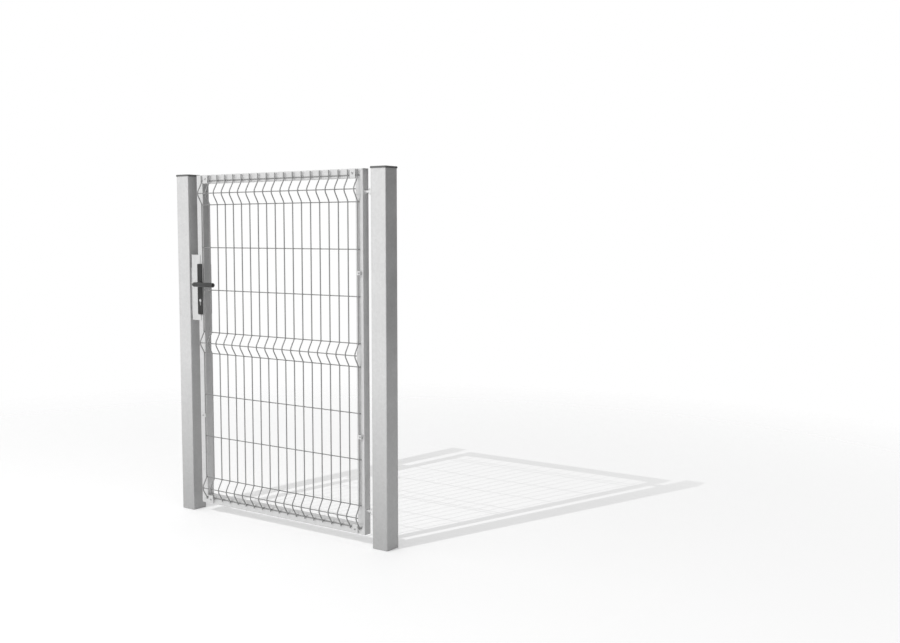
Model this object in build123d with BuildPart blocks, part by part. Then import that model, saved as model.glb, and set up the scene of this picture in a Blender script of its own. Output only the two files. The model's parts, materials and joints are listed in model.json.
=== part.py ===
# Pedestrian gate: two square posts, a framed leaf filled with bent welded mesh, and a lock with a lever.
# Millimetres, +Z up. The front of the gate looks along -Y and the hinge post is on the right of it.
# The origin lies in the middle of the hinge post's foot.
import os
from build123d import *

# Posts
post_size = 80
post_wall = 3
post_corner = 5
post_height = 1611
foot_plate = 4
cap_flange = 8
cap_overhang = 3
cap_plug_depth = 18
cap_plug_gap = 0.4
cap_plug_wall = 3
cap_crown = 2

# Leaf frame
leaf_width = 1020
leaf_over_post = 2
leaf_above_ground = 46
post_gap = 50
leaf_setback = 10
tube_size = 40
tube_wall = 2
tube_corner = 3

# Welded mesh
wire = 4.4
wire_count = 19
first_wire_inset = 40
last_wire_inset = 23.3
row_end_latch = 3
row_end_hinge = 8
rows_per_field = 4
bottom_row_rise = 29.5
top_row_drop = 28
bottom_cell = 98
middle_cell = 100
top_cell = 111.5
bottom_bend_rise = 48.5
top_bend_rise = 53
wire_tip = 25
wire_foot = 3
bend_height = 96
bend_depth = 24.5

# Mesh clips
corner_clip_width = 30
corner_clip_height = 37
corner_clip_rise = 7
side_clip_width = 21.5
side_clip_height = 18
side_clip_lip = 5.2
clip_cover = 2.5
clip_gap = 0.3

# Hinges
upper_hinge_drop = 98
lower_hinge_rise = 104
rod_radius = 6
rod_in_tube = 30
eye_radius = 13
eye_height = 15
pin_radius = 6
pin_gap = 0.05
pin_beyond_eye = 6
axis_from_leaf = 24
tongue_thickness = 6
tongue_gap = 0.6
tongue_radius = 10
bracket_thickness = 5
bracket_width = 34
bracket_height = 54

# Lock
lock_width = 40
lock_height = 311
lock_below_handle = 172
lock_wall = 3
lock_plate_thickness = 3
lock_plate_overlap = 17
bolt_width = 14
latch_height = 28
dead_height = 36
bolt_nose = 1.5
bolt_length = 24
bolt_slot_gap = 0.4
strike_thickness = 2.5
strike_width = 34
strike_height = 230
strike_slot_gap = 3

# Escutcheons, cylinder and lever
escutcheon_width = 31
escutcheon_height = 240
escutcheon_thickness = 7
escutcheon_corner = 5
escutcheon_below_handle = 144
handle_from_leaf_edge = 20.5
handle_height = 1100
cylinder_drop = 77
cylinder_radius = 8.5
cylinder_web = 10
cylinder_depth = 33
cylinder_recess = 1.5
cylinder_gap = 0.4
window_gap = 2
spindle_radius = 5
spindle_gap = 0.4
spindle_seat = 0.05
spindle_bite = 24
neck_radius = 10.5
lever_run_gap = 0.5
lever_reach = 41
lever_elbow = 12
grip_length = 138
grip_end_chamfer = 3

# Places that follow from the sizes
post_half = post_size / 2
leaf_right = -post_half - post_gap
leaf_left = leaf_right - leaf_width
latch_post_x = leaf_left - post_gap - post_half
leaf_front = -post_half + leaf_setback
leaf_back = leaf_front + tube_size
leaf_mid_depth = (leaf_front + leaf_back) / 2
leaf_top = post_height + leaf_over_post
leaf_height = leaf_top - leaf_above_ground
row_depth = leaf_front - wire / 2
wire_depth = row_depth - wire
first_wire = leaf_left + first_wire_inset
last_wire = leaf_right - last_wire_inset
wire_pitch = (last_wire - first_wire) / (wire_count - 1)
bottom_row = leaf_above_ground + bottom_row_rise
top_row = leaf_top - top_row_drop
cells_per_field = rows_per_field - 1
row_pitch = (top_row - bottom_row - bottom_cell - middle_cell - top_cell) / (2 * cells_per_field)
first_straight_row = bottom_row + bottom_cell
middle_row = first_straight_row + row_pitch * cells_per_field
upper_row = middle_row + middle_cell
high_row = upper_row + row_pitch * cells_per_field
bottom_bend = bottom_row + bottom_bend_rise
middle_bend = middle_row + middle_cell / 2
top_bend = high_row + top_bend_rise
upper_hinge_height = leaf_top - upper_hinge_drop
lower_hinge_height = leaf_above_ground + lower_hinge_rise
axis_x = leaf_right + axis_from_leaf
axis_y = leaf_mid_depth + eye_radius - rod_radius
lock_left = leaf_left - lock_width
lock_bottom = handle_height - lock_below_handle
plate_width = lock_width + lock_plate_overlap
plate_middle = lock_left + plate_width / 2
handle_x = leaf_left + handle_from_leaf_edge
cylinder_height = handle_height - cylinder_drop
window_width = 2 * cylinder_radius + 2 * window_gap
window_bottom = cylinder_height + cylinder_radius - cylinder_depth - window_gap
window_top = handle_height + spindle_radius + window_gap
escutcheon_middle = handle_height - escutcheon_below_handle + escutcheon_height / 2
front_plate_face = leaf_front - lock_plate_thickness
back_plate_face = leaf_back + lock_plate_thickness
front_face = front_plate_face - escutcheon_thickness
back_face = back_plate_face + escutcheon_thickness

os.makedirs("parts", exist_ok=True)

# Posts: square tubes with round corners, closed by a plate at the ground.
# Their caps have a flange over the tube's end and a plug inside it.
post_bore = post_size - 2 * post_wall
cap_size = post_size + 2 * cap_overhang
plug_size = post_bore - 2 * cap_plug_gap
plug_hollow = plug_size - 2 * cap_plug_wall
for name, post_x in (("hinge_post", 0), ("latch_post", latch_post_x)):
    with BuildPart() as post:
        with BuildSketch(Plane(origin=(post_x, 0, 0))):
            RectangleRounded(post_size, post_size, post_corner)
        extrude(amount=post_height)
        with BuildSketch(Plane(origin=(post_x, 0, foot_plate))):
            Rectangle(post_bore, post_bore)
        extrude(amount=post_height - foot_plate, mode=Mode.SUBTRACT)
    post.part.label = name
    export_step(post.part, f"parts/{name}.step")

    with BuildPart() as cap:
        with BuildSketch(Plane(origin=(post_x, 0, post_height))):
            RectangleRounded(cap_size, cap_size, post_corner + cap_overhang)
        extrude(amount=cap_flange)
        chamfer(cap.faces().sort_by(Axis.Z)[-1].edges(), length=cap_crown)
        with BuildSketch(Plane(origin=(post_x, 0, post_height))):
            Rectangle(plug_size, plug_size)
            Rectangle(plug_hollow, plug_hollow, mode=Mode.SUBTRACT)
        extrude(amount=-cap_plug_depth)
    cap.part.label = f"{name}_cap"
    export_step(cap.part, f"parts/{name}_cap.step")

# Leaf frame: four square tubes, mitred where they meet.
# Each pair is the outer and the inner edge of a tube.
tube_bore = tube_size - 2 * tube_wall
hinge_edges = (leaf_right, leaf_right - tube_size)
latch_edges = (leaf_left, leaf_left + tube_size)
top_edges = (leaf_top, leaf_top - tube_size)
bottom_edges = (leaf_above_ground, leaf_above_ground + tube_size)
window_middle = (window_bottom + window_top) / 2
window_height = window_top - window_bottom
for name, (outer, inner) in (("hinge_stile", hinge_edges), ("latch_stile", latch_edges)):
    with BuildPart() as stile:
        with BuildSketch(Plane(origin=((outer + inner) / 2, leaf_mid_depth, leaf_above_ground))):
            RectangleRounded(tube_size, tube_size, tube_corner)
            Rectangle(tube_bore, tube_bore, mode=Mode.SUBTRACT)
        extrude(amount=leaf_height)
        with BuildSketch(Plane.XZ.offset(-leaf_front)):
            for end, end_inner in (top_edges, bottom_edges):
                with BuildLine():
                    Polyline((outer, end), (inner, end), (inner, end_inner), close=True)
                make_face()
        extrude(amount=-tube_size, mode=Mode.SUBTRACT)
        if name == "hinge_stile":
            with BuildSketch(Plane.YZ.offset(leaf_right)):
                with Locations((leaf_mid_depth, upper_hinge_height), (leaf_mid_depth, lower_hinge_height)):
                    Circle(rod_radius + clip_gap)
            extrude(amount=-2 * tube_wall, mode=Mode.SUBTRACT)
        else:
            with BuildSketch(Plane.XZ.offset(-leaf_front)):
                with Locations((handle_x, window_middle)):
                    Rectangle(window_width, window_height)
            extrude(amount=-tube_size, mode=Mode.SUBTRACT)
    stile.part.label = name
    export_step(stile.part, f"parts/{name}.step")

for name, (outer, inner) in (("top_rail", top_edges), ("bottom_rail", bottom_edges)):
    with BuildPart() as rail:
        with BuildSketch(Plane.YZ.offset(leaf_left)):
            with Locations((leaf_mid_depth, (outer + inner) / 2)):
                RectangleRounded(tube_size, tube_size, tube_corner)
                Rectangle(tube_bore, tube_bore, mode=Mode.SUBTRACT)
        extrude(amount=leaf_width)
        with BuildSketch(Plane.XZ.offset(-leaf_front)):
            for end, end_inner in (latch_edges, hinge_edges):
                with BuildLine():
                    Polyline((end, outer), (end, inner), (end_inner, inner), close=True)
                make_face()
        extrude(amount=-tube_size, mode=Mode.SUBTRACT)
    rail.part.label = name
    export_step(rail.part, f"parts/{name}.step")

# Mesh: upright wires with three pointed bends toward the front, welded to straight cross rows behind them
bend_half = bend_height / 2
leg_length = (bend_half ** 2 + bend_depth ** 2) ** 0.5
leg_side = wire / 2 * leg_length / bend_half
knee_shift = wire / 2 * (leg_length - bend_half) / bend_depth
wire_front = wire_depth - wire / 2
wire_back = wire_depth + wire / 2
wire_low = bottom_row - wire_foot
wire_high = top_row + wire_tip
front_line = [(wire_front, wire_low)]
back_line = [(wire_back, wire_low)]
for bend in (bottom_bend, middle_bend, top_bend):
    if bend - bend_half > wire_low:
        front_line.append((wire_front, bend - bend_half - knee_shift))
        back_line.append((wire_back, bend - bend_half + knee_shift))
    front_line.append((wire_depth - bend_depth - leg_side, bend))
    back_line.append((wire_depth - bend_depth + leg_side, bend))
    front_line.append((wire_front, bend + bend_half + knee_shift))
    back_line.append((wire_back, bend + bend_half - knee_shift))
front_line.append((wire_front, wire_high))
back_line.append((wire_back, wire_high))
straight_rows = [bottom_row]
straight_rows += [first_straight_row + row_pitch * number for number in range(rows_per_field)]
straight_rows += [upper_row + row_pitch * number for number in range(rows_per_field)]
straight_rows += [top_row]
row_places = [(row_depth, height) for height in straight_rows]
row_places += [(row_depth - bend_depth, height) for height in (bottom_bend, middle_bend, top_bend)]
wire_places = [first_wire + wire_pitch * number for number in range(wire_count)]
with BuildPart() as mesh_panel:
    with BuildSketch(Plane.YZ.offset(first_wire - row_end_latch)):
        with Locations(*row_places):
            Rectangle(wire, wire)
    extrude(amount=last_wire - first_wire + row_end_latch + row_end_hinge)
    with BuildSketch(*[Plane.YZ.offset(place - wire / 2) for place in wire_places]):
        with BuildLine():
            Polyline(*front_line, *reversed(back_line), close=True)
        make_face()
    extrude(amount=wire)
mesh_panel.part.label = "mesh_panel"
export_step(mesh_panel.part, "parts/mesh_panel.step")

# Corner clips: plates on the rails that hold the top and bottom rows
row_groove = wire + 2 * clip_gap
row_groove_depth = wire + clip_gap
corner_clip_depth = row_groove_depth + clip_cover
clip_left = first_wire + wire_pitch / 2
clip_right = last_wire - wire_pitch / 2
for name, clip_x, row, rise in (
    ("top_left_clip", clip_left, top_row, corner_clip_rise),
    ("top_right_clip", clip_right, top_row, corner_clip_rise),
    ("bottom_left_clip", clip_left, bottom_row, -corner_clip_rise),
    ("bottom_right_clip", clip_right, bottom_row, -corner_clip_rise),
):
    with BuildPart() as corner_clip:
        with BuildSketch(Plane.XZ.offset(-leaf_front)):
            with Locations((clip_x, row + rise)):
                Rectangle(corner_clip_width, corner_clip_height)
        extrude(amount=corner_clip_depth)
        with BuildSketch(Plane.XZ.offset(-leaf_front)):
            with Locations((clip_x, row)):
                Rectangle(corner_clip_width, row_groove)
        extrude(amount=row_groove_depth, mode=Mode.SUBTRACT)
    corner_clip.part.label = name
    export_step(corner_clip.part, f"parts/{name}.step")

# Side clips: blocks on the stiles that hold the outer upright wires, halfway between two cross rows
wire_groove = wire + 2 * clip_gap
wire_groove_depth = leaf_front - wire_front + clip_gap
side_clip_depth = wire_groove_depth + clip_cover
upper_clip_height = high_row - row_pitch - row_pitch / 2
lower_clip_height = middle_row - row_pitch - row_pitch / 2
hinge_clip_x = last_wire - side_clip_lip + side_clip_width / 2
latch_clip_x = first_wire + side_clip_lip - side_clip_width / 2
for name, clip_x, wire_x, clip_height in (
    ("hinge_upper_clip", hinge_clip_x, last_wire, upper_clip_height),
    ("hinge_lower_clip", hinge_clip_x, last_wire, lower_clip_height),
    ("latch_lower_clip", latch_clip_x, first_wire, lower_clip_height),
):
    with BuildPart() as side_clip:
        with BuildSketch(Plane.XZ.offset(-leaf_front)):
            with Locations((clip_x, clip_height)):
                Rectangle(side_clip_width, side_clip_height)
        extrude(amount=side_clip_depth)
        with BuildSketch(Plane.XZ.offset(-leaf_front)):
            with Locations((wire_x, clip_height)):
                Rectangle(wire_groove, side_clip_height)
        extrude(amount=wire_groove_depth, mode=Mode.SUBTRACT)
    side_clip.part.label = name
    export_step(side_clip.part, f"parts/{name}.step")

# Hinges: a rod screwed into the stile ends in an eye, and the eye turns on a pin.
# A bracket on the post's face carries the pin on its tongue.
# The upper pin hangs down and the lower one stands up, so that the leaf can't be lifted off.
rod_start = leaf_right - rod_in_tube
bracket_face = -post_half - bracket_thickness
tongue_length = bracket_face - axis_x
pin_length = tongue_thickness + tongue_gap + eye_height + pin_beyond_eye
upper_tongue_base = upper_hinge_height + eye_height / 2 + tongue_gap
lower_tongue_base = lower_hinge_height - eye_height / 2 - tongue_gap - tongue_thickness
for end, hinge_height, tongue_base, pin_base in (
    ("upper", upper_hinge_height, upper_tongue_base, upper_tongue_base + tongue_thickness - pin_length),
    ("lower", lower_hinge_height, lower_tongue_base, lower_tongue_base),
):
    eye_base = hinge_height - eye_height / 2
    with BuildPart() as eye:
        with BuildSketch(Plane(origin=(axis_x, axis_y, eye_base))):
            Circle(eye_radius)
        extrude(amount=eye_height)
        with BuildSketch(Plane(origin=(rod_start, leaf_mid_depth, hinge_height), z_dir=(1, 0, 0))):
            Circle(rod_radius)
        extrude(amount=axis_x - rod_start)
        with BuildSketch(Plane(origin=(axis_x, axis_y, eye_base))):
            Circle(pin_radius + pin_gap)
        extrude(amount=eye_height, mode=Mode.SUBTRACT)
    eye.part.label = f"{end}_hinge_eye"
    export_step(eye.part, f"parts/{end}_hinge_eye.step")

    with BuildPart() as bracket:
        with BuildSketch(Plane.YZ.offset(bracket_face)):
            with Locations((axis_y, tongue_base + tongue_thickness / 2)):
                Rectangle(bracket_width, bracket_height)
        extrude(amount=bracket_thickness)
        with BuildSketch(Plane(origin=(axis_x, axis_y, tongue_base))):
            Circle(tongue_radius)
            with Locations((tongue_length / 2, 0)):
                Rectangle(tongue_length, 2 * tongue_radius)
            Circle(pin_radius, mode=Mode.SUBTRACT)
        extrude(amount=tongue_thickness)
    bracket.part.label = f"{end}_hinge_bracket"
    export_step(bracket.part, f"parts/{end}_hinge_bracket.step")

    with BuildPart() as pin:
        with BuildSketch(Plane(origin=(axis_x, axis_y, pin_base))):
            Circle(pin_radius)
        extrude(amount=pin_length)
    pin.part.label = f"{end}_hinge_pin"
    export_step(pin.part, f"parts/{end}_hinge_pin.step")

# Lock case: a short closed box beside the latch stile, with slots for the two bolts
bolts = (("latch_bolt", handle_height, latch_height), ("dead_bolt", cylinder_height, dead_height))
lock_middle = lock_left + lock_width / 2
with BuildPart() as lock_case:
    with BuildSketch(Plane(origin=(lock_middle, leaf_mid_depth, lock_bottom))):
        Rectangle(lock_width, tube_size)
    extrude(amount=lock_height)
    with BuildSketch(Plane(origin=(lock_middle, leaf_mid_depth, lock_bottom + lock_wall))):
        Rectangle(lock_width - 2 * lock_wall, tube_size - 2 * lock_wall)
    extrude(amount=lock_height - 2 * lock_wall, mode=Mode.SUBTRACT)
    with BuildSketch(Plane.YZ.offset(lock_left)):
        for name, bolt_place, bolt_height in bolts:
            with Locations((leaf_mid_depth, bolt_place)):
                Rectangle(bolt_width + 2 * bolt_slot_gap, bolt_height + 2 * bolt_slot_gap)
    extrude(amount=lock_wall, mode=Mode.SUBTRACT)
lock_case.part.label = "lock_case"
export_step(lock_case.part, "parts/lock_case.step")

for name, bolt_place, bolt_height in bolts:
    with BuildPart() as bolt:
        with BuildSketch(Plane.YZ.offset(lock_left - bolt_nose)):
            with Locations((leaf_mid_depth, bolt_place)):
                Rectangle(bolt_width, bolt_height)
        extrude(amount=bolt_length)
    bolt.part.label = name
    export_step(bolt.part, f"parts/{name}.step")

# Strike plate on the latch post, across from the bolts
strike_face = latch_post_x + post_half
with BuildPart() as strike_plate:
    with BuildSketch(Plane.YZ.offset(strike_face)):
        with Locations((leaf_mid_depth, (handle_height + cylinder_height) / 2)):
            Rectangle(strike_width, strike_height)
        for name, bolt_place, bolt_height in bolts:
            with Locations((leaf_mid_depth, bolt_place)):
                Rectangle(bolt_width + strike_slot_gap, bolt_height + strike_slot_gap, mode=Mode.SUBTRACT)
    extrude(amount=strike_thickness)
strike_plate.part.label = "strike_plate"
export_step(strike_plate.part, "parts/strike_plate.step")

# Cover plates over the lock case, front and back, with a window for the spindle and the key cylinder
for name, foot, thickness in (
    ("front_lock_plate", leaf_front, lock_plate_thickness),
    ("back_lock_plate", leaf_back, -lock_plate_thickness),
):
    with BuildPart() as lock_plate:
        with BuildSketch(Plane.XZ.offset(-foot)):
            with Locations((plate_middle, lock_bottom + lock_height / 2)):
                Rectangle(plate_width, lock_height)
            with Locations((handle_x, window_middle)):
                Rectangle(window_width, window_height, mode=Mode.SUBTRACT)
        extrude(amount=thickness)
    lock_plate.part.label = name
    export_step(lock_plate.part, f"parts/{name}.step")

# Long escutcheons: the key's opening goes through both, the spindle only through the front one
cylinder_slot_height = cylinder_height + cylinder_radius - cylinder_depth / 2
key_slot_length = cylinder_depth + 2 * cylinder_gap
key_slot_width = cylinder_web + 2 * cylinder_gap
for name, foot, thickness in (
    ("front_escutcheon", front_plate_face, escutcheon_thickness),
    ("back_escutcheon", back_plate_face, -escutcheon_thickness),
):
    with BuildPart() as escutcheon:
        with BuildSketch(Plane.XZ.offset(-foot)):
            with Locations((handle_x, escutcheon_middle)):
                RectangleRounded(escutcheon_width, escutcheon_height, escutcheon_corner)
            if name == "front_escutcheon":
                with Locations((handle_x, handle_height)):
                    Circle(spindle_radius + spindle_gap, mode=Mode.SUBTRACT)
            with Locations((handle_x, cylinder_height)):
                Circle(cylinder_radius + cylinder_gap, mode=Mode.SUBTRACT)
            with Locations((handle_x, cylinder_slot_height)):
                SlotOverall(key_slot_length, key_slot_width, rotation=90, mode=Mode.SUBTRACT)
        extrude(amount=thickness)
    escutcheon.part.label = name
    export_step(escutcheon.part, f"parts/{name}.step")

# Key cylinder: a round barrel over a narrower web, right through the leaf
cylinder_front = front_face + cylinder_recess
cylinder_run = back_face - front_face - 2 * cylinder_recess
with BuildPart() as lock_cylinder:
    with BuildSketch(Plane.XZ.offset(-cylinder_front)):
        with Locations((handle_x, cylinder_height)):
            Circle(cylinder_radius)
        with Locations((handle_x, cylinder_slot_height)):
            SlotOverall(cylinder_depth, cylinder_web, rotation=90)
    extrude(amount=-cylinder_run)
lock_cylinder.part.label = "lock_cylinder"
export_step(lock_cylinder.part, "parts/lock_cylinder.step")

# Lever, on the front only: a neck, a bevelled elbow and a round grip toward the hinge side
front_neck_foot = front_face - lever_run_gap
front_grip = front_face - lever_reach
grip_end = handle_x + grip_length
with BuildPart() as front_lever:
    with BuildLine():
        Polyline(
            (handle_x, front_neck_foot, handle_height),
            (handle_x, front_grip + lever_elbow, handle_height),
            (handle_x + lever_elbow, front_grip, handle_height),
            (grip_end, front_grip, handle_height),
        )
    with BuildSketch(Plane.XZ.offset(-front_neck_foot)):
        with Locations((handle_x, handle_height)):
            Circle(neck_radius)
    sweep(transition=Transition.RIGHT)
    chamfer(front_lever.faces().sort_by(Axis.X)[-1].edges(), length=grip_end_chamfer)
    with BuildSketch(Plane.XZ.offset(-front_neck_foot)):
        with Locations((handle_x, handle_height)):
            Circle(spindle_radius + spindle_seat)
    extrude(amount=spindle_bite, mode=Mode.SUBTRACT)
front_lever.part.label = "front_lever"
export_step(front_lever.part, "parts/front_lever.step")

with BuildPart() as spindle:
    with BuildSketch(Plane.XZ.offset(-front_neck_foot + spindle_bite)):
        with Locations((handle_x, handle_height)):
            Circle(spindle_radius)
    extrude(amount=front_neck_foot - spindle_bite - leaf_back)
spindle.part.label = "spindle"
export_step(spindle.part, "parts/spindle.step")
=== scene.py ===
"""Pedestrian gate of welded mesh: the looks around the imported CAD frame, in metres."""

import json
import math

import bmesh
import bpy
from mathutils import Matrix, Vector


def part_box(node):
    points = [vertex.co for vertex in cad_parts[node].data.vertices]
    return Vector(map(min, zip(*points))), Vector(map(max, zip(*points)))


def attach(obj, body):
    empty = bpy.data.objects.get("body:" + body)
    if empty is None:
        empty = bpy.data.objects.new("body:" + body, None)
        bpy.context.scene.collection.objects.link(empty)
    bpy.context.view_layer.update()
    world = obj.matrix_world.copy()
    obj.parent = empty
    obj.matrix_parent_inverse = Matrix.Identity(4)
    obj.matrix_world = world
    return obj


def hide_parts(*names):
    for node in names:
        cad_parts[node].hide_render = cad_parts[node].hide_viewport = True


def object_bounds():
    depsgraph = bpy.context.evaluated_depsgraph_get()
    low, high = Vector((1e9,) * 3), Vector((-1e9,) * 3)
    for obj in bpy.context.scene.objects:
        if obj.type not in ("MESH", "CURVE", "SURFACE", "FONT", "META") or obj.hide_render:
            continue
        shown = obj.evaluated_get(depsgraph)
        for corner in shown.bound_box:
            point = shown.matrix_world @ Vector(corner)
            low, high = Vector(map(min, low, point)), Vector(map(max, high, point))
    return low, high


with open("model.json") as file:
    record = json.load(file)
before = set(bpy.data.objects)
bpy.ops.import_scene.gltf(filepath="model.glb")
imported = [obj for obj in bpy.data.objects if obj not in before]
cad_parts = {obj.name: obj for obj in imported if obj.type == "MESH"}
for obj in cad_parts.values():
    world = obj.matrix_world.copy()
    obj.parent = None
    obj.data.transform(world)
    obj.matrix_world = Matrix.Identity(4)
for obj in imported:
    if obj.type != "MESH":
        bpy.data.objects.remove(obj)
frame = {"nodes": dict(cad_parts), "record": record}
cad_low, cad_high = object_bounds()

X_AXIS = Vector((1, 0, 0))
Y_AXIS = Vector((0, 1, 0))
Z_AXIS = Vector((0, 0, 1))

# Round wires that stand for the square bars of the CAD mesh panel
wire_radius = 0.0027
row_radius = 0.0023
bar_half = 0.0022
wire_sides = 12
wire_count = 19
row_end_latch = 0.003
row_end_hinge = 0.008
wire_foot = 0.003
wire_tip = 0.025
bottom_cell = 0.098
middle_cell = 0.100
top_cell = 0.1115
rows_per_field = 4
bottom_bend_rise = 0.0485
top_bend_rise = 0.053
bend_half_height = 0.048
bend_radius = 0.030
bend_steps = 8
cut_chamfer = 0.0006
weld_wide = 0.0031
weld_deep = 0.0017
weld_around = 10
weld_levels = 6

# Screw heads from the foot up: outline, share of the radius, share of the height
button_head = (
    ("round", 1.00, -0.25),
    ("round", 1.00, 0.28),
    ("round", 0.93, 0.58),
    ("round", 0.76, 0.86),
    ("round", 0.56, 1.00),
    ("hex", 0.44, 0.99),
    ("hex", 0.44, 0.30),
)
flush_head = (
    ("round", 1.00, -1.00),
    ("round", 1.00, 0.50),
    ("round", 0.94, 1.00),
    ("round", 0.60, 1.00),
    ("hex", 0.45, 1.00),
    ("hex", 0.45, -0.90),
)
screw_points = 36

# Screws
clip_screw_radius = 0.0052
clip_screw_height = 0.0030
clip_screw_rise = 0.002
side_screw_radius = 0.0045
side_screw_height = 0.0026
side_screw_inset = 0.0068
bracket_screw_radius = 0.0052
bracket_screw_height = 0.0030
bracket_screw_apart = 0.034
bracket_plate = 0.005
plate_screw_radius = 0.0040
plate_screw_height = 0.0005
plate_screw_inset = 0.012

# Weld beads of the leaf
mitre_bead = 0.0012
rod_bead = 0.0016
rod_radius = 0.006
bead_sides = 10
bead_tip_share = 0.15
ripple_pitch = 0.0022
ripple_depth = 0.12
ripple_steps = 4
rod_bead_steps = 48

# Lock
lever_elbow = 0.0140
lever_steps = 10
lever_sides = 40
lever_end_round = 0.0035
lever_end_steps = 5
collar_width = 0.0026
collar_height = 0.0030
collar_edge = 0.0006
forend_width = 0.022
forend_inset = 0.006
forend_thickness = 0.0008
forend_edge = 0.0003
round_end_steps = 12
cylinder_web = 0.010
cylinder_edge = 0.0004
cylinder_steps = 32
plug_radius = 0.0058
plug_height = 0.0006
plug_edge = 0.0003
plug_points = 72
keyway_width = 0.0018
keyway_height = 0.0088
keyway_depth = 0.0030

# Softened edges of the CAD plates, and the angle past which a new piece has a sharp edge
plate_edge = 0.0006
cap_edge = 0.0014
edge_steps = 2
edge_angle = math.radians(38)
facet_weld = 0.00001
sharp_angle = math.radians(35)

# Galvanised steel: how far its texture is squeezed along and across a piece, and its finish
upright_streak = (160, 160, 5)
level_streak = (5, 160, 160)
steel_metallic = 0.65
steel_roughness = (0.44, 0.56)
tube_spangle = 95
wire_spangle = 300
# Painted shade on the posts: their colour is darkened towards the ground, from this height down to this
# share at the foot
post_shade_height = 0.75
post_shade_level = 0.68

# Values that most of a noise texture lies between, and how rough it is
noise_low = 0.3
noise_high = 0.7
noise_roughness = 0.55

# Camera fitted to the photograph
camera_place = Vector((2.8587, -3.5545, 1.3451))
camera_right = Vector((0.81566796, 0.57852033, 0.0))
camera_up = Vector((-0.04732439, 0.06672366, 0.99664856))
camera_lens = 43.456
camera_sensor = 36.0

# Studio: a key lamp, a floor that fades out, and a world with one shaded side
key_place = Vector((-1.971, -6.307, 7.020))
key_target = Vector((-0.6, 0.0, 0.6))
key_size = 0.012
key_power = 340.0
floor_radius = 4.8
floor_solid_radius = 1.6
floor_segments = 96
floor_drop = 0.0006
floor_level = 0.86
floor_roughness = 0.7
floor_gloss = 0.2
floor_glow = 0.20
overhead_level = 0.62
overhead_from = 0.25
overhead_to = 0.8
shaded_way = (0.80, 0.60, 0.0)
shaded_level = 0.08
shaded_from = 0.45
shaded_to = 0.88


# Node helpers

def new_material(name):
    """An empty material with a Principled shader, as (material, nodes, links, shader)."""
    material = bpy.data.materials.new(name)
    material.use_nodes = True
    nodes, links = material.node_tree.nodes, material.node_tree.links
    nodes.clear()
    output = nodes.new("ShaderNodeOutputMaterial")
    shader = nodes.new("ShaderNodeBsdfPrincipled")
    links.new(shader.outputs["BSDF"], output.inputs["Surface"])
    return material, nodes, links, shader


def object_space(nodes, links, scale=(1, 1, 1), offset=(0, 0, 0)):
    """Object coordinates stretched by scale, then shifted by offset."""
    place = nodes.new("ShaderNodeTexCoord")
    mapping = nodes.new("ShaderNodeMapping")
    mapping.inputs["Location"].default_value = offset
    mapping.inputs["Scale"].default_value = scale
    links.new(place.outputs["Object"], mapping.inputs["Vector"])
    return mapping.outputs["Vector"]


def noise(nodes, links, vector, scale, detail=3.0):
    """The value of a noise texture."""
    texture = nodes.new("ShaderNodeTexNoise")
    texture.inputs["Scale"].default_value = scale
    texture.inputs["Detail"].default_value = detail
    texture.inputs["Roughness"].default_value = noise_roughness
    links.new(vector, texture.inputs["Vector"])
    return texture.outputs["Fac"]


def ramp(nodes, links, factor, low, high, low_at=noise_low, high_at=noise_high):
    """A grey between two levels as factor goes from low_at to high_at."""
    node = nodes.new("ShaderNodeValToRGB")
    node.color_ramp.elements[0].position = low_at
    node.color_ramp.elements[1].position = high_at
    node.color_ramp.elements[0].color = (low, low, low, 1)
    node.color_ramp.elements[1].color = (high, high, high, 1)
    links.new(factor, node.inputs["Fac"])
    return node.outputs["Color"]


def spread(nodes, links, factor, low, high, low_at=noise_low, high_at=noise_high):
    """A number between low and high as factor goes from low_at to high_at."""
    node = nodes.new("ShaderNodeMapRange")
    node.inputs["From Min"].default_value = low_at
    node.inputs["From Max"].default_value = high_at
    node.inputs["To Min"].default_value = low
    node.inputs["To Max"].default_value = high
    links.new(factor, node.inputs["Value"])
    return node.outputs["Result"]


def mix(nodes, links, first, second, share, way="MIX"):
    """Two colours mixed by a fixed share."""
    node = nodes.new("ShaderNodeMix")
    node.data_type = "RGBA"
    node.blend_type = way
    node.inputs["Factor"].default_value = share
    links.new(first, node.inputs["A"])
    links.new(second, node.inputs["B"])
    return node.outputs["Result"]


def multiply(nodes, links, first, second):
    return mix(nodes, links, first, second, 1.0, "MULTIPLY")


def vector_length(nodes, links, vector):
    node = nodes.new("ShaderNodeVectorMath")
    node.operation = "LENGTH"
    links.new(vector, node.inputs[0])
    return node.outputs["Value"]


def bump(nodes, links, shader, height, distance, strength):
    node = nodes.new("ShaderNodeBump")
    node.inputs["Distance"].default_value = distance
    node.inputs["Strength"].default_value = strength
    links.new(height, node.inputs["Height"])
    links.new(node.outputs["Normal"], shader.inputs["Normal"])


# Materials

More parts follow.
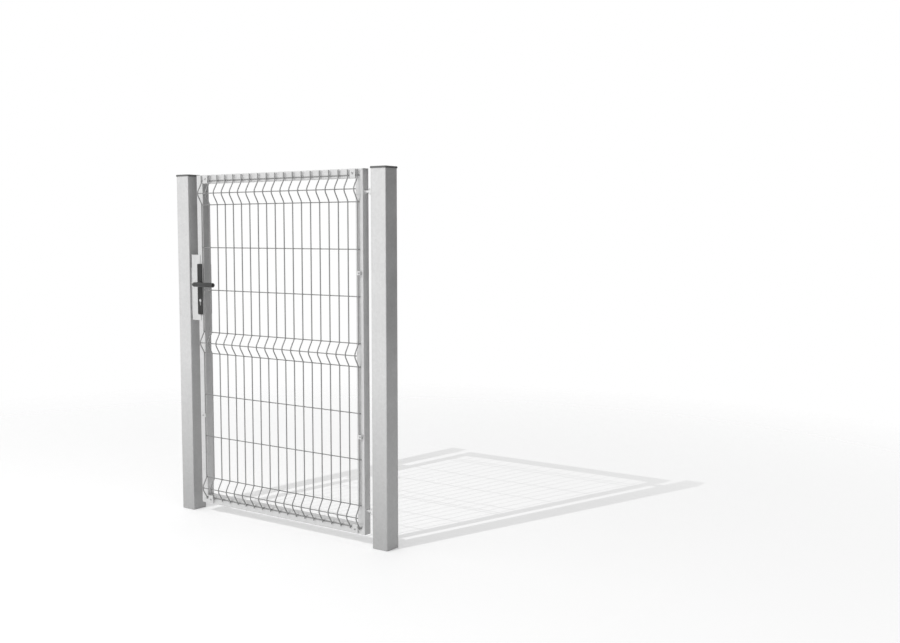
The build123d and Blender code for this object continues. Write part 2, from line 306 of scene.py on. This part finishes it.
def galvanised(name, streak, low, high, spangle=tube_spangle, paint_foot_shade=False):
    """Hot-dip galvanised steel: faint spangle, streaks along the piece, matt and bright patches.

    With paint_foot_shade the colour is painted darker towards the ground: a painted shade for the light
    that falls off at the foot of a post.
    """
    material, nodes, links, shader = new_material(name)
    plain = object_space(nodes, links)
    drawn = object_space(nodes, links, streak)
    cells = nodes.new("ShaderNodeTexVoronoi")
    cells.inputs["Scale"].default_value = spangle
    links.new(plain, cells.inputs["Vector"])
    grain = noise(nodes, links, drawn, scale=1.0, detail=4.0)
    clouds = noise(nodes, links, plain, scale=14.0, detail=4.0)
    tone = mix(nodes, links, cells.outputs["Color"], grain, share=0.45)
    tone = mix(nodes, links, tone, clouds, share=0.35)
    colour = ramp(nodes, links, tone, low, high, low_at=0.25, high_at=0.75)
    # Painted shade: the colour is multiplied darker towards the ground
    if paint_foot_shade:
        split = nodes.new("ShaderNodeSeparateXYZ")
        links.new(plain, split.inputs["Vector"])
        shade_towards_ground = ramp(nodes, links, split.outputs["Z"], post_shade_level, 1.0, 0.0, post_shade_height)
        colour = multiply(nodes, links, colour, shade_towards_ground)
    links.new(colour, shader.inputs["Base Color"])
    links.new(spread(nodes, links, clouds, *steel_roughness), shader.inputs["Roughness"])
    shader.inputs["Metallic"].default_value = steel_metallic
    bump(nodes, links, shader, grain, distance=0.00012, strength=0.35)
    return material


def zinc_plated(name, low, high):
    """Bright zinc plate: smoother than galvanising, with a fine mill grain and small dull spots."""
    material, nodes, links, shader = new_material(name)
    plain = object_space(nodes, links)
    fine = noise(nodes, links, plain, scale=260.0, detail=2.0)
    clouds = noise(nodes, links, plain, scale=60.0)
    links.new(ramp(nodes, links, clouds, low, high), shader.inputs["Base Color"])
    links.new(spread(nodes, links, fine, low=0.30, high=0.40), shader.inputs["Roughness"])
    shader.inputs["Metallic"].default_value = 0.7
    bump(nodes, links, shader, fine, distance=0.00003, strength=0.12)
    return material


def moulded_plastic(name, low, high):
    """Black moulded plastic with a fine spark-eroded grain."""
    material, nodes, links, shader = new_material(name)
    plain = object_space(nodes, links)
    grain = noise(nodes, links, plain, scale=1100.0, detail=2.0)
    clouds = noise(nodes, links, plain, scale=45.0)
    links.new(ramp(nodes, links, clouds, low, high), shader.inputs["Base Color"])
    links.new(spread(nodes, links, grain, low=0.48, high=0.62), shader.inputs["Roughness"])
    bump(nodes, links, shader, grain, distance=0.00012, strength=0.5)
    return material


def powder_coat(name, low, high):
    """Satin black powder coat: orange-peel ripple and slightly rubbed patches, which shine more."""
    material, nodes, links, shader = new_material(name)
    plain = object_space(nodes, links)
    peel = noise(nodes, links, plain, scale=700.0, detail=2.0)
    rubbed = noise(nodes, links, plain, scale=30.0, detail=4.0)
    links.new(ramp(nodes, links, rubbed, low, high), shader.inputs["Base Color"])
    links.new(spread(nodes, links, rubbed, low=0.40, high=0.32), shader.inputs["Roughness"])
    shader.inputs["Specular IOR Level"].default_value = 0.35
    bump(nodes, links, shader, peel, distance=0.00008, strength=0.4)
    return material


def turned_nickel(name, centre, low, high):
    """Nickel-plated brass turned about the key cylinder's axis: fine rings in the gloss."""
    material, nodes, links, shader = new_material(name)
    local = object_space(nodes, links, (1, 0, 1), (-centre.x, 0, -centre.z))
    texture = nodes.new("ShaderNodeTexNoise")
    texture.noise_dimensions = "1D"
    texture.inputs["Scale"].default_value = 2600.0
    links.new(vector_length(nodes, links, local), texture.inputs["W"])
    rings = texture.outputs["Fac"]
    links.new(ramp(nodes, links, rings, low, high), shader.inputs["Base Color"])
    links.new(spread(nodes, links, rings, low=0.18, high=0.34), shader.inputs["Roughness"])
    shader.inputs["Metallic"].default_value = 1.0
    bump(nodes, links, shader, rings, distance=0.00003, strength=0.3)
    return material


cylinder_low, cylinder_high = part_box("lock_cylinder")
key_radius = (cylinder_high.x - cylinder_low.x) / 2
key_middle = (cylinder_low.x + cylinder_high.x) / 2
key_centre = Vector((key_middle, 0, cylinder_high.z - key_radius))

# The posts carry the painted shade that darkens their foot
steel_post = galvanised("galvanised_post", upright_streak, low=0.61, high=0.68, paint_foot_shade=True)
steel_upright = galvanised("galvanised_upright", upright_streak, low=0.62, high=0.69)
steel_level = galvanised("galvanised_level", level_streak, low=0.62, high=0.69)
# Painted shade: the wires get a far darker colour than the frame's galvanised steel, standing in for the
# shade on the thin wires
shaded_wire_steel = galvanised("galvanised_wire_painted_shade", upright_streak, low=0.26, high=0.34, spangle=wire_spangle)
zinc = zinc_plated("zinc_plate", low=0.80, high=0.90)
screw_zinc = zinc_plated("screw_zinc", low=0.42, high=0.52)
black_plastic = moulded_plastic("black_plastic", low=0.095, high=0.120)
black_coat = powder_coat("black_coat", low=0.014, high=0.022)
# Partly painted reflection: the lever's black is painted lighter than the escutcheons', standing in for the
# floor's light reflected on its underside
lever_coat_painted_reflection = powder_coat("lever_coat_painted_reflection", low=0.034, high=0.048)
nickel = turned_nickel("nickel", key_centre, low=0.70, high=0.82)
dull_nickel = turned_nickel("dull_nickel", key_centre, low=0.26, high=0.34)

materials_by_slot = {
    "zinc_plated_steel": zinc,
    "black_plastic": black_plastic,
    "black_aluminium": black_coat,
    "nickel_brass": nickel,
}
slot_by_node = {part["node"]: part["material_slot"] for part in frame["record"]["subparts"]}
for node_name, node in frame["nodes"].items():
    low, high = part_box(node_name)
    lies_level = high.x - low.x > high.z - low.z
    steel = steel_level if lies_level else steel_upright
    steel = steel_post if node_name in ("hinge_post", "latch_post") else steel
    material = materials_by_slot.get(slot_by_node[node_name], steel)
    node.data.materials.clear()
    node.data.materials.append(material)


# Mesh helpers

def make_piece(name, bm, material, body):
    """Turns a bmesh into a piece that rides on a body and takes the given material."""
    bmesh.ops.recalc_face_normals(bm, faces=bm.faces)
    mesh = bpy.data.meshes.new(name)
    bm.to_mesh(mesh)
    bm.free()
    mesh.polygons.foreach_set("use_smooth", [True] * len(mesh.polygons))
    mesh.set_sharp_from_angle(angle=sharp_angle)
    mesh.materials.append(material)
    piece = bpy.data.objects.new(name, mesh)
    bpy.context.scene.collection.objects.link(piece)
    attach(piece, body)
    return piece


def rounded(points, radius, steps):
    """A polyline whose inner corners are turned into arcs of that radius."""
    path = [points[0]]
    for before, corner, after in zip(points, points[1:], points[2:]):
        towards, away = (before - corner).normalized(), (after - corner).normalized()
        half = towards.angle(away) / 2
        start = corner + towards * (radius / math.tan(half))
        centre = corner + (towards + away).normalized() * (radius / math.sin(half))
        axis = towards.cross(away).normalized()
        turn = 2 * half - math.pi
        for step in range(steps + 1):
            spin = Matrix.Rotation(turn * step / steps, 3, axis)
            path.append(centre + spin @ (start - centre))
    path.append(points[-1])
    return path


def ring_of(bm, centre, first, second, radius, count):
    """Points of a circle spanned by two unit vectors."""
    ring = []
    for step in range(count):
        angle = 2 * math.pi * step / count
        ring.append(bm.verts.new(centre + radius * (math.cos(angle) * first + math.sin(angle) * second)))
    return ring


def skin(bm, rings):
    """Faces between rings of equal count, closed at both ends."""
    count = len(rings[0])
    for lower, upper in zip(rings, rings[1:]):
        for step in range(count):
            other = (step + 1) % count
            bm.faces.new((lower[step], lower[other], upper[other], upper[step]))
    bm.faces.new(rings[0])
    bm.faces.new(rings[-1])


def sweep(bm, path, radius, side, sides=wire_sides, ends=((0, cut_chamfer), (cut_chamfer, 0))):
    """A round bar along a path that lies in the plane square to side.

    ends lists, from the tip inwards, how far back each ring lies and how much smaller it is.
    """
    first = (path[1] - path[0]).normalized()
    last = (path[-1] - path[-2]).normalized()
    stations = [(path[0] + first * back, radius - less) for back, less in ends]
    stations += [(point, radius) for point in path[1:-1]]
    stations += [(path[-1] - last * back, radius - less) for back, less in reversed(ends)]
    places = [place for place, size in stations]
    rings = []
    for index, (place, size) in enumerate(stations):
        ahead = places[min(index + 1, len(places) - 1)] - places[max(index - 1, 0)]
        rings.append(ring_of(bm, place, side, side.cross(ahead.normalized()), size, sides))
    skin(bm, rings)


def reach(shape, size, angle):
    """How far an outline lies from its middle at an angle.

    size is a round's radius, half a hexagon's width over its flats, or an upright slot's
    half width and half height.
    """
    if shape == "hex":
        sixth = math.pi / 3
        return size / math.cos((angle + sixth / 2) % sixth - sixth / 2)
    if shape == "slot":
        wide, tall = size
        flat = abs(math.cos(angle)) / wide
        steep = abs(math.sin(angle)) / tall
        return 1 / max(flat, steep)
    return size


def stack(bm, foot, axis, layers, count):
    """Outlines laid one above the other along a level axis: each layer is (shape, size, height)."""
    side = Z_AXIS.cross(axis).normalized()
    rings = []
    for shape, size, height in layers:
        ring = []
        for step in range(count):
            angle = 2 * math.pi * step / count
            across = side * math.cos(angle) + Z_AXIS * math.sin(angle)
            ring.append(bm.verts.new(foot + axis * height + across * reach(shape, size, angle)))
        rings.append(ring)
    skin(bm, rings)


def screw(bm, head, foot, axis, radius, height):
    """A screw head with a hexagon socket: button_head or flush_head."""
    layers = [(shape, radius * wide, height * tall) for shape, wide, tall in head]
    stack(bm, foot, axis, layers, screw_points)


def ripple(turns):
    """The share of a weld bead's thickness that is left after a number of ripples."""
    return 1 - ripple_depth * (0.5 + 0.5 * math.cos(2 * math.pi * turns))


def bead(bm, start, end, radius, side):
    """A rippled weld bead along a line, thinner at its ends."""
    run = end - start
    count = max(ripple_steps, round(run.length / ripple_pitch) * ripple_steps)
    across = side.cross(run.normalized())
    rings = []
    for index in range(count + 1):
        along = index / count
        near_end = min(along, 1 - along) * run.length
        taper = math.sqrt(min(1.0, bead_tip_share + near_end / (2 * radius)))
        thick = radius * ripple(along * run.length / ripple_pitch) * taper
        rings.append(ring_of(bm, start + run * along, side, across, thick, bead_sides))
    skin(bm, rings)


def ring_bead(bm, centre, axis, major, minor):
    """A rippled weld bead round a rod."""
    side = Z_AXIS.cross(axis).normalized()
    rings = []
    for index in range(rod_bead_steps):
        angle = 2 * math.pi * index / rod_bead_steps
        out = side * math.cos(angle) + Z_AXIS * math.sin(angle)
        thick = minor * ripple(index / ripple_steps)
        rings.append(ring_of(bm, centre + out * major, out, axis, thick, bead_sides))
    for index, ring in enumerate(rings):
        following = rings[(index + 1) % rod_bead_steps]
        for step in range(bead_sides):
            other = (step + 1) % bead_sides
            bm.faces.new((ring[step], ring[other], following[other], following[step]))


def blob(bm, centre, size):
    """A flattened ball, for the bead where two wires are welded."""
    rings = []
    for level in range(1, weld_levels):
        lift = math.pi * level / weld_levels
        ring = []
        for step in range(weld_around):
            angle = 2 * math.pi * step / weld_around
            spot = (math.sin(lift) * math.cos(angle), math.cos(lift), math.sin(lift) * math.sin(angle))
            ring.append(bm.verts.new(centre + Vector(a * b for a, b in zip(spot, size))))
        rings.append(ring)
    top = bm.verts.new(centre + Vector((0, size[1], 0)))
    bottom = bm.verts.new(centre - Vector((0, size[1], 0)))
    for step in range(weld_around):
        other = (step + 1) % weld_around
        bm.faces.new((top, rings[0][other], rings[0][step]))
        bm.faces.new((bottom, rings[-1][step], rings[-1][other]))
        for upper, lower in zip(rings, rings[1:]):
            bm.faces.new((upper[step], upper[other], lower[other], lower[step]))


def arc(across, up, radius, start, turn, steps):
    """Points of an arc in an outline's plane, anticlockwise about (across, up) from an angle."""
    points = []
    for step in range(steps + 1):
        angle = start + turn * step / steps
        points.append(Vector((across + radius * math.cos(angle), up + radius * math.sin(angle))))
    return points


def inset(outline, amount):
    """A closed outline moved inwards by an amount, corner by corner."""
    moved = []
    count = len(outline)
    for index, point in enumerate(outline):
        before = (point - outline[index - 1]).normalized()
        after = (outline[(index + 1) % count] - point).normalized()
        along = (before + after).normalized()
        square = Vector((-along.y, along.x))
        narrow = max(0.5, square.dot(Vector((-before.y, before.x))))
        moved.append(point + square * amount / narrow)
    return moved


def slab(bm, outline, place, low, high, edge):
    """An outline given anticlockwise, raised from low to high with softened edges.

    place turns (u, v, height) into a point.
    """
    tight = inset(outline, edge)
    layers = [(tight, low), (outline, low + edge), (outline, high - edge), (tight, high)]
    rings = []
    for points, height in layers:
        rings.append([bm.verts.new(place(point.x, point.y, height)) for point in points])
    skin(bm, rings)


# Welded mesh panel

mesh_low, mesh_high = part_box("mesh_panel")
first_wire = mesh_low.x + row_end_latch
last_wire = mesh_high.x - row_end_hinge
row_depth = mesh_high.y - bar_half
wire_depth = row_depth - 2 * bar_half
apex_depth = mesh_low.y + bar_half
bottom_row = mesh_low.z + wire_foot
top_row = mesh_high.z - wire_tip
low_field = bottom_row + bottom_cell
high_field = top_row - top_cell
row_pitch = (high_field - low_field - middle_cell) / (2 * (rows_per_field - 1))
middle_low = low_field + row_pitch * (rows_per_field - 1)
bend_heights = [bottom_row + bottom_bend_rise, middle_low + middle_cell / 2, high_field + top_bend_rise]
flat_rows = [bottom_row, top_row]
for step in range(rows_per_field):
    flat_rows.append(low_field + step * row_pitch)
    flat_rows.append(high_field - step * row_pitch)
bent_row_depth = apex_depth + 2 * bar_half
bend_slope = math.atan2(wire_depth - apex_depth, bend_half_height)
corner_depth = apex_depth - bend_radius * (1 / math.cos(bend_slope) - 1)
rows = [(row_depth, height) for height in flat_rows] + [(bent_row_depth, height) for height in bend_heights]
wire_places = [first_wire + (last_wire - first_wire) * i / (wire_count - 1) for i in range(wire_count)]

bm = bmesh.new()
for x in wire_places:
    corners = [Vector((x, wire_depth, mesh_low.z))]
    for height in bend_heights:
        corners.append(Vector((x, wire_depth, height - bend_half_height)))
        corners.append(Vector((x, corner_depth, height)))
        corners.append(Vector((x, wire_depth, height + bend_half_height)))
    corners.append(Vector((x, wire_depth, mesh_high.z)))
    sweep(bm, rounded(corners, bend_radius, bend_steps), wire_radius, X_AXIS)
for depth, height in rows:
    ends = [Vector((mesh_low.x, depth, height)), Vector((mesh_high.x, depth, height))]
    sweep(bm, ends, row_radius, Z_AXIS)
    for x in wire_places:
        blob(bm, Vector((x, depth - row_radius, height)), (weld_wide, weld_deep, weld_wide))
# The wires and rows take the darker wire colour with its painted shade
wires = make_piece("welded_wires", bm, shaded_wire_steel, "leaf")
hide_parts("mesh_panel")


# Softened edges on the CAD plates and caps

def soften(node_name, width):
    """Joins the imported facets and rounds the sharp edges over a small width."""
    node = frame["nodes"][node_name]
    weld = node.modifiers.new("weld", "WELD")
    weld.merge_threshold = facet_weld
    round_off = node.modifiers.new("round_off", "BEVEL")
    round_off.width = width
    round_off.segments = edge_steps
    round_off.limit_method = "ANGLE"
    round_off.angle_limit = edge_angle
    round_off.harden_normals = True


for node_name in frame["nodes"]:
    if node_name.endswith(("_clip", "_plate", "_bracket", "_escutcheon")) or node_name == "lock_case":
        soften(node_name, plate_edge)
    if node_name.endswith("_cap"):
        soften(node_name, cap_edge)


# Clip screws

bm = bmesh.new()
for node_name in ("top_left_clip", "top_right_clip", "bottom_left_clip", "bottom_right_clip"):
    low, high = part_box(node_name)
    away = clip_screw_rise if node_name.startswith("top") else -clip_screw_rise
    foot = Vector(((low.x + high.x) / 2, low.y, (low.z + high.z) / 2 + away))
    screw(bm, button_head, foot, -Y_AXIS, clip_screw_radius, clip_screw_height)
for node_name in ("hinge_upper_clip", "hinge_lower_clip", "latch_lower_clip"):
    low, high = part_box(node_name)
    over_stile = high.x - side_screw_inset if node_name.startswith("hinge") else low.x + side_screw_inset
    foot = Vector((over_stile, low.y, (low.z + high.z) / 2))
    screw(bm, button_head, foot, -Y_AXIS, side_screw_radius, side_screw_height)
make_piece("clip_screws", bm, screw_zinc, "leaf")


# Bracket and strike plate screws

bm = bmesh.new()
plate_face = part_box("hinge_post")[0].x - bracket_plate
for node_name in ("upper_hinge_bracket", "lower_hinge_bracket"):
    low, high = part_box(node_name)
    pin_low, pin_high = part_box(node_name.replace("bracket", "pin"))
    for way in (-1, 1):
        height = (low.z + high.z) / 2 + way * bracket_screw_apart / 2
        foot = Vector((plate_face, (pin_low.y + pin_high.y) / 2, height))
        screw(bm, button_head, foot, -X_AXIS, bracket_screw_radius, bracket_screw_height)
low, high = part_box("strike_plate")
for height in (low.z + plate_screw_inset, high.z - plate_screw_inset):
    foot = Vector((high.x, (low.y + high.y) / 2, height))
    screw(bm, flush_head, foot, X_AXIS, plate_screw_radius, plate_screw_height)
make_piece("post_screws", bm, zinc, "posts")


# Welds of the leaf: its mitred corners, front and back, and the rods of the hinge eyes

bm = bmesh.new()
rail_low, rail_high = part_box("top_rail")
leaf_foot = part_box("bottom_rail")[0].z
hinge_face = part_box("hinge_stile")[1].x
tube = rail_high.z - rail_low.z
for face in (rail_low.y, rail_high.y):
    for corner_x, inward in ((rail_low.x, 1), (rail_high.x, -1)):
        for corner_z, inwards_z in ((rail_high.z, -1), (leaf_foot, 1)):
            outer = Vector((corner_x, face, corner_z))
            way = Vector((inward, 0, inwards_z))
            bead(bm, outer + way * mitre_bead * 2, outer + way * tube, mitre_bead, Y_AXIS)
for node_name in ("upper_hinge_eye", "lower_hinge_eye"):
    low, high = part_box(node_name)
    centre = Vector((hinge_face, (rail_low.y + rail_high.y) / 2, (low.z + high.z) / 2))
    ring_bead(bm, centre, X_AXIS, rod_radius + rod_bead / 2, rod_bead)
make_piece("leaf_welds", bm, steel_upright, "leaf")


# Lever handle

lever_low, lever_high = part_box("front_lever")
lever_radius = (lever_high.z - lever_low.z) / 2
lever_height = (lever_high.z + lever_low.z) / 2
neck_x = lever_low.x + lever_radius
grip_y = lever_low.y + lever_radius
corners = [
    Vector((neck_x, lever_high.y, lever_height)),
    Vector((neck_x, grip_y, lever_height)),
    Vector((lever_high.x, grip_y, lever_height)),
]
end_rings = []
for step in range(lever_end_steps + 1):
    angle = math.pi / 2 * step / lever_end_steps
    end_rings.append((lever_end_round * (1 - math.cos(angle)), lever_end_round * (1 - math.sin(angle))))
bm = bmesh.new()
lever_path = rounded(corners, lever_elbow, lever_steps)
sweep(bm, lever_path, lever_radius, Z_AXIS, lever_sides, end_rings)
collar = lever_radius + collar_width
stack(bm, corners[0], -Y_AXIS, [
    ("round", collar - collar_edge, 0),
    ("round", collar, collar_edge),
    ("round", collar, collar_height - collar_edge),
    ("round", collar - collar_edge, collar_height),
], lever_sides)
lever = make_piece("lever_handle", bm, lever_coat_painted_reflection, "handle")
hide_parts("front_lever")


# Screws of the escutcheons

bm = bmesh.new()
for node_name, axis in (("front_escutcheon", -Y_AXIS), ("back_escutcheon", Y_AXIS)):
    low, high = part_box(node_name)
    face = low.y if node_name.startswith("front") else high.y
    for height in (low.z + plate_screw_inset, high.z - plate_screw_inset):
        foot = Vector(((low.x + high.x) / 2, face, height))
        screw(bm, flush_head, foot, axis, plate_screw_radius, plate_screw_height)
make_piece("escutcheon_screws", bm, black_coat, "leaf")


# Forend of the lock: a round-ended plate on the case's edge, with two screws

case_low, case_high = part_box("lock_case")
forend_middle = (case_low.y + case_high.y) / 2
forend_low = case_low.z + forend_inset
forend_high = case_high.z - forend_inset
forend_half = forend_width / 2


def on_case_edge(u, v, height):
    return Vector((case_low.x - height, forend_middle + u, v))


outline = arc(0, forend_low + forend_half, forend_half, math.pi, math.pi, round_end_steps)
outline += arc(0, forend_high - forend_half, forend_half, 0, math.pi, round_end_steps)
bm = bmesh.new()
slab(bm, outline, on_case_edge, -forend_edge, forend_thickness, forend_edge)
for height in (forend_low + plate_screw_inset, forend_high - plate_screw_inset):
    foot = Vector((case_low.x - forend_thickness, forend_middle, height))
    screw(bm, flush_head, foot, -X_AXIS, plate_screw_radius, plate_screw_height)
make_piece("lock_forend", bm, zinc, "leaf")


# Key cylinder: a round over a narrower web, with a plug and keyway at both ends

def in_cylinder(u, v, height):
    return Vector((key_centre.x + u, height, key_centre.z + v))


web_half = cylinder_web / 2
web_foot = cylinder_low.z - key_centre.z + web_half
opening = math.asin(web_half / key_radius)
outline = arc(0, 0, key_radius, -math.pi / 2 + opening, 2 * math.pi - 2 * opening, cylinder_steps)
outline += arc(0, web_foot, web_half, math.pi, math.pi, round_end_steps)
bm = bmesh.new()
slab(bm, outline, in_cylinder, cylinder_low.y, cylinder_high.y, cylinder_edge)
key_body = make_piece("key_cylinder", bm, dull_nickel, "leaf")
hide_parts("lock_cylinder")

keyway = (keyway_width / 2, keyway_height / 2)
bm = bmesh.new()
for face, axis in ((cylinder_low.y, -Y_AXIS), (cylinder_high.y, Y_AXIS)):
    foot = Vector((key_centre.x, face, key_centre.z))
    stack(bm, foot, axis, [
        ("round", plug_radius, -plug_height),
        ("round", plug_radius, plug_height - plug_edge),
        ("round", plug_radius - plug_edge, plug_height),
        ("slot", keyway, plug_height),
        ("slot", keyway, plug_height - keyway_depth),
    ], plug_points)
make_piece("key_plugs", bm, nickel, "leaf")


# Floor, light and camera

def make_floor():
    """A pale disc that fades out, and glows a little to the camera and in reflections."""
    bm = bmesh.new()
    middle = Vector((cad_low.x + cad_high.x, cad_low.y + cad_high.y, 0)) / 2
    bmesh.ops.create_circle(bm, cap_ends=True, segments=floor_segments, radius=floor_radius)
    mesh = bpy.data.meshes.new("floor")
    bm.to_mesh(mesh)
    bm.free()
    floor = bpy.data.objects.new("floor", mesh)
    floor.location = middle - Z_AXIS * floor_drop
    bpy.context.scene.collection.objects.link(floor)
    material, nodes, links, shader = new_material("pale_floor")
    shader.inputs["Base Color"].default_value = (floor_level, floor_level, floor_level, 1)
    shader.inputs["Roughness"].default_value = floor_roughness
    shader.inputs["Specular IOR Level"].default_value = floor_gloss
    away = vector_length(nodes, links, object_space(nodes, links))
    fade = spread(nodes, links, away, 1.0, 0.0, floor_solid_radius, floor_radius)
    links.new(fade, shader.inputs["Alpha"])
    rays = nodes.new("ShaderNodeLightPath")
    seen = rays.outputs["Is Camera Ray"]
    for other in ("Is Glossy Ray", "Is Transmission Ray"):
        either = nodes.new("ShaderNodeMath")
        either.operation = "MAXIMUM"
        links.new(seen, either.inputs[0])
        links.new(rays.outputs[other], either.inputs[1])
        seen = either.outputs["Value"]
    shader.inputs["Emission Color"].default_value = (1, 1, 1, 1)
    glow = spread(nodes, links, seen, 0.0, floor_glow, 0.0, 1.0)
    links.new(glow, shader.inputs["Emission Strength"])
    mesh.materials.append(material)


def make_world():
    """A pale studio all round, a little lower overhead and with one shaded side at the back right."""
    world = bpy.data.worlds.new("studio")
    bpy.context.scene.world = world
    world.use_nodes = True
    nodes, links = world.node_tree.nodes, world.node_tree.links
    nodes.clear()
    output = nodes.new("ShaderNodeOutputWorld")
    background = nodes.new("ShaderNodeBackground")
    links.new(background.outputs["Background"], output.inputs["Surface"])
    place = nodes.new("ShaderNodeTexCoord")
    split = nodes.new("ShaderNodeSeparateXYZ")
    links.new(place.outputs["Generated"], split.inputs["Vector"])
    overhead = ramp(nodes, links, split.outputs["Z"], 1.0, overhead_level, overhead_from, overhead_to)
    dot = nodes.new("ShaderNodeVectorMath")
    dot.operation = "DOT_PRODUCT"
    dot.inputs[1].default_value = shaded_way
    links.new(place.outputs["Generated"], dot.inputs[0])
    shade = ramp(nodes, links, dot.outputs["Value"], 1.0, shaded_level, shaded_from, shaded_to)
    links.new(multiply(nodes, links, overhead, shade), background.inputs["Color"])


def make_key():
    """A small round lamp high at the front left, which throws the gate's shadow to the back right."""
    lamp = bpy.data.lights.new("key", "AREA")
    lamp.shape = "DISK"
    lamp.size = key_size
    lamp.energy = key_power
    holder = bpy.data.objects.new("key", lamp)
    holder.location = key_place
    holder.rotation_mode = "QUATERNION"
    holder.rotation_quaternion = (key_target - key_place).to_track_quat("-Z", "Y")
    bpy.context.scene.collection.objects.link(holder)


def make_camera():
    camera = bpy.data.cameras.new("camera")
    camera.sensor_fit = "HORIZONTAL"
    camera.sensor_width = camera_sensor
    camera.lens = camera_lens
    holder = bpy.data.objects.new("camera", camera)
    back = camera_right.cross(camera_up)
    turn = Matrix((camera_right, camera_up, back)).transposed().to_4x4()
    holder.matrix_world = Matrix.Translation(camera_place) @ turn
    bpy.context.scene.collection.objects.link(holder)
    bpy.context.scene.camera = holder


make_floor()
make_world()
make_key()
make_camera()
bpy.context.scene.view_settings.view_transform = "Standard"
